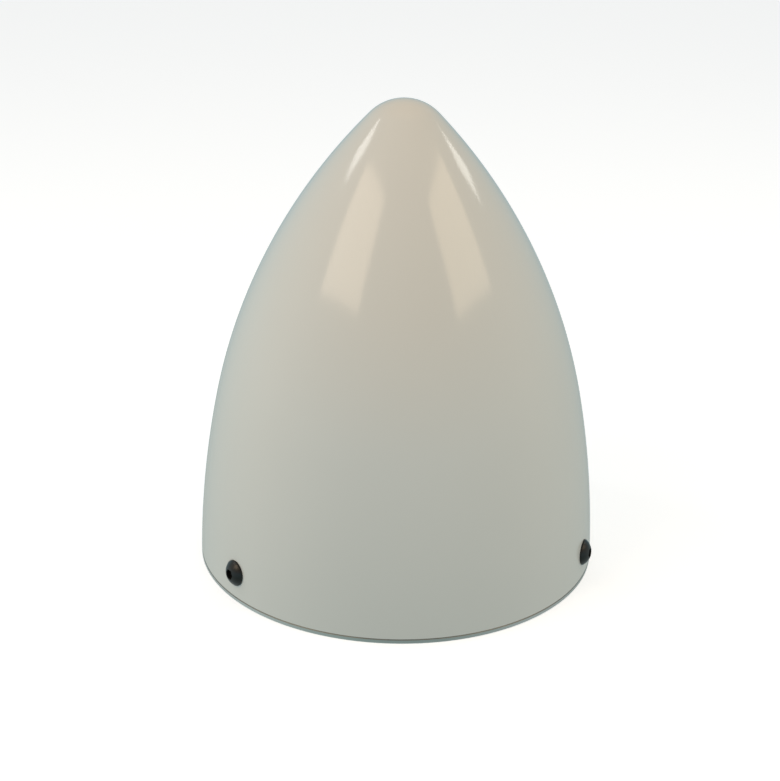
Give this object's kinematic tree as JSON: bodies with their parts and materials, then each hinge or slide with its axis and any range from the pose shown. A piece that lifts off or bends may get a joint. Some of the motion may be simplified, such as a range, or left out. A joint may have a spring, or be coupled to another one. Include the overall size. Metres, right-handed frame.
{
  "type": "propeller spinner",
  "caption": "Hollow pointed spinner cone for a model aeroplane's propeller hub, screwed at its edge to a turned metal backplate with a shaft bore.",
  "frame": {"origin": "centre of the backplate's rear face, on which the spinner stands, on the axis of rotation", "axes": "+Z along the axis of rotation towards the nose; one screw lies over +Y, and the others at 120 degrees to it"},
  "size_m": [0.09, 0.0914, 0.1044],
  "materials": {
    "gel_coat": "glossy white gel coat on glass fibre laminate",
    "machined_aluminium": "fine turned",
    "black_oxide_steel": "black oxide"
  },
  "bodies": {
    "root": {"cone": "gel_coat", "backplate": "machined_aluminium", "cone_screws": "black_oxide_steel"}
  },
  "joints": []
}
